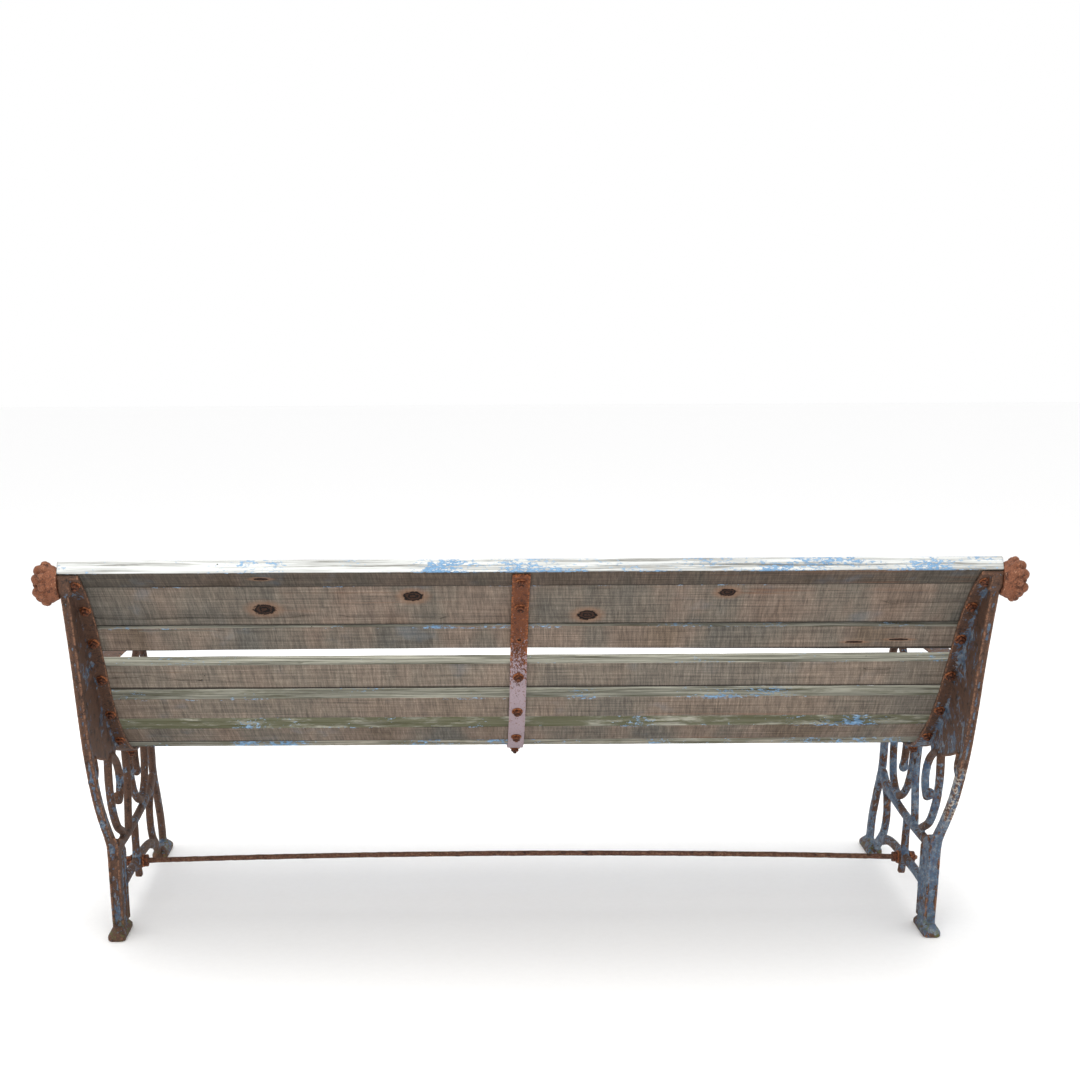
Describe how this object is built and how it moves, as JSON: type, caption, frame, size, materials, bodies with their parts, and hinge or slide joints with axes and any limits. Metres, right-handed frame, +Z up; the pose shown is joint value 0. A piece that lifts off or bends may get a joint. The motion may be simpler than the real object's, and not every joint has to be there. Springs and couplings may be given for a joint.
{
  "type": "garden bench",
  "caption": "Slatted garden bench with a rolled back, cast scroll ends, flat iron mid strap and low tie rod.",
  "frame": {"origin": "centre of the bounding box on the ground", "axes": "+Z up, +X along the bench to the sitter's left, the sitter faces -Y"},
  "size_m": [1.9, 0.832, 0.8666],
  "materials": {
    "cast_iron_ends": "rusted, with the remains of blue paint",
    "rosette_iron": "light orange rust",
    "weathered_wood": "bare grey weathered boards with traces of blue paint",
    "strap_iron": "rusted flat bar with pale paint residue",
    "rod_iron": "dark pitted rust",
    "fasteners": "dark rust"
  },
  "bodies": {
    "root": {"end_frame_left": "cast_iron_ends", "end_frame_right": "cast_iron_ends", "rosette_left": "rosette_iron", "rosette_right": "rosette_iron", "rosette_screw_left": "fasteners", "rosette_screw_right": "fasteners", "back_slat_1": "weathered_wood", "back_slat_2": "weathered_wood", "back_slat_3": "weathered_wood", "back_slat_4": "weathered_wood", "back_slat_5": "weathered_wood", "back_slat_6": "weathered_wood", "seat_slat_1": "weathered_wood", "seat_slat_2": "weathered_wood", "seat_slat_3": "weathered_wood", "seat_slat_4": "weathered_wood", "seat_slat_5": "weathered_wood", "mid_strap": "strap_iron", "strap_bolts": "fasteners", "strap_washers": "fasteners", "strap_nuts": "fasteners", "end_bolts_left": "fasteners", "end_bolts_right": "fasteners", "end_washers_left": "fasteners", "end_washers_right": "fasteners", "end_nuts_left": "fasteners", "end_nuts_right": "fasteners", "tie_rod": "rod_iron", "tie_rod_washers": "fasteners", "tie_rod_nuts": "fasteners"}
  },
  "joints": []
}
